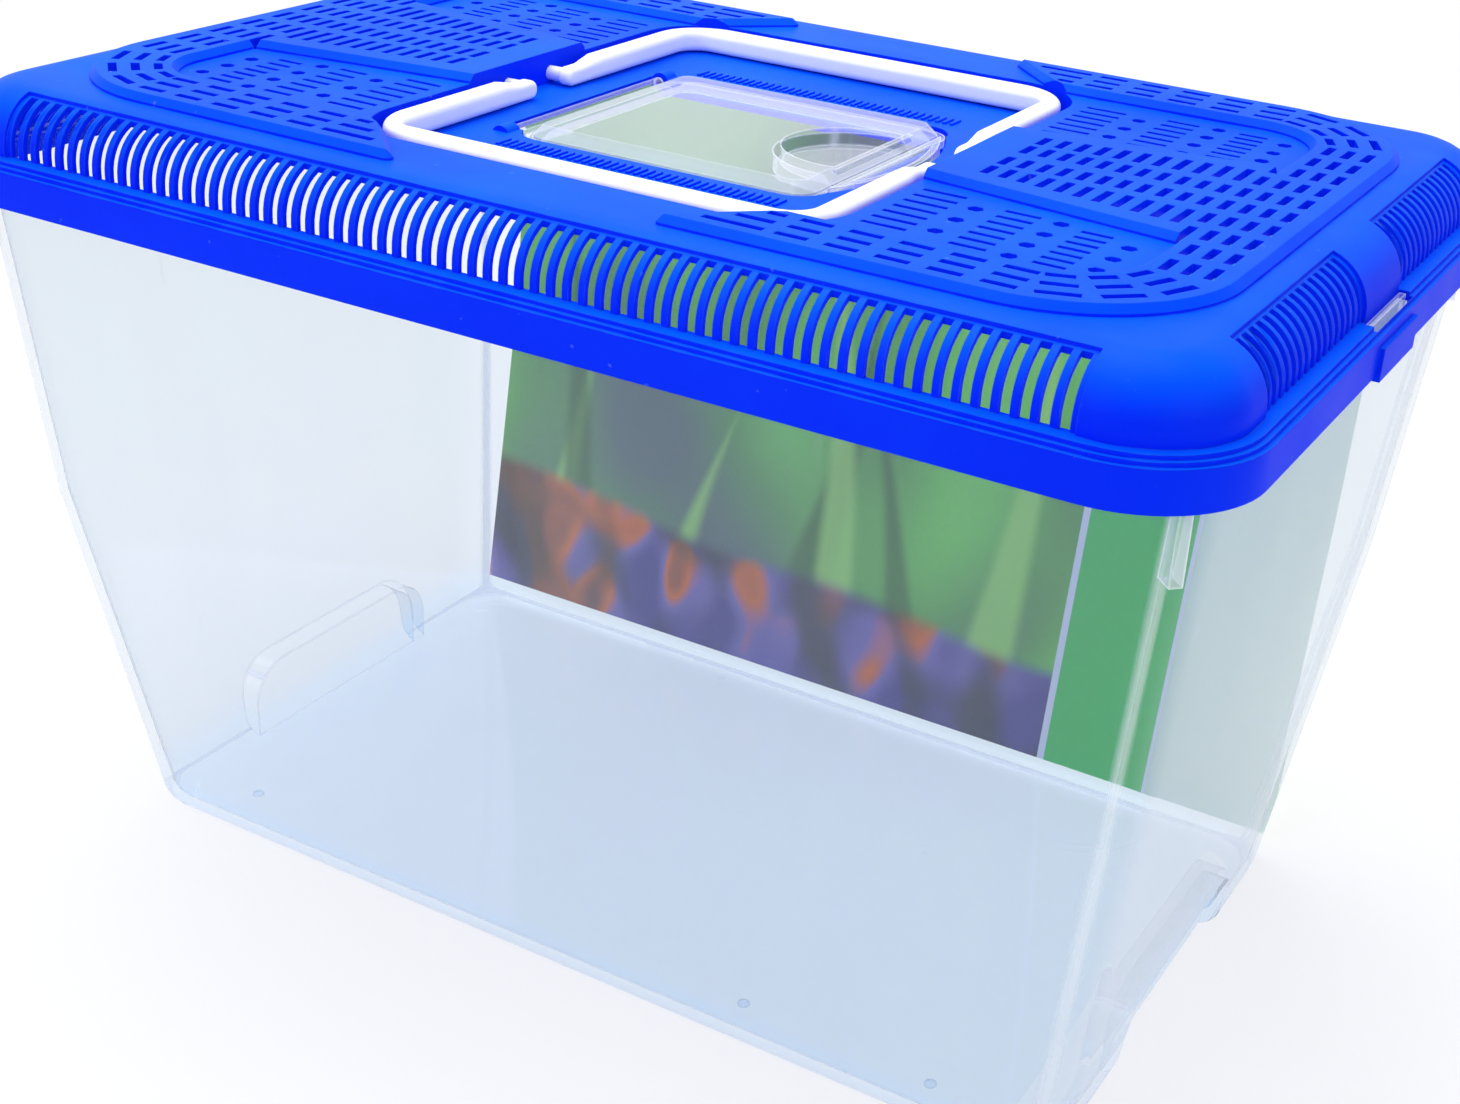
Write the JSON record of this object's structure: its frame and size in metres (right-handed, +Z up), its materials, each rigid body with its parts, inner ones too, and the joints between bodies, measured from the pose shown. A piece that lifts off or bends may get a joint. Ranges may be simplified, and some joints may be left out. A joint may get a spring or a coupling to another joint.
{
  "type": "small aquarium",
  "caption": "Small clear plastic tank with a ventilated lift-off lid, a hinged clear hatch, two fold-flat bail handles and a backdrop card.",
  "frame": {"origin": "centre of the footprint, on the table under the tank", "axes": "X along the length of the tank, Y to the back wall with the card, Z up"},
  "size_m": [0.311, 0.208, 0.1968],
  "materials": {
    "clear_tank": "clear polished plastic",
    "printed_card": null,
    "lid_plastic": "satin moulded blue plastic",
    "clear_hatch": "clear polished plastic",
    "handle_plastic": "white moulded plastic"
  },
  "bodies": {
    "tank": {"tank": "clear_tank", "backdrop_card": "printed_card"},
    "lid": {"lid": "lid_plastic"},
    "hatch": {"hatch": "clear_hatch"},
    "front_handle": {"front_handle": "handle_plastic"},
    "back_handle": {"back_handle": "handle_plastic"}
  },
  "joints": [
    {"name": "lid_lift", "type": "slide", "parent": "tank", "child": "lid", "axis": [0, 0, 1], "range_m": [0, 0.06]},
    {"name": "hatch_hinge", "type": "hinge", "parent": "lid", "child": "hatch", "pos_m": [-0.041, 0, 0.188], "axis": [0, -1, 0], "range_deg": [0, 36]},
    {"name": "front_handle_pivot", "type": "hinge", "parent": "lid", "child": "front_handle", "pos_m": [0, -0.0085, 0.1917], "axis": [-1, 0, 0], "range_deg": [0, 95]},
    {"name": "back_handle_pivot", "type": "hinge", "parent": "lid", "child": "back_handle", "pos_m": [0, 0.0085, 0.1917], "axis": [1, 0, 0], "range_deg": [0, 95]}
  ]
}
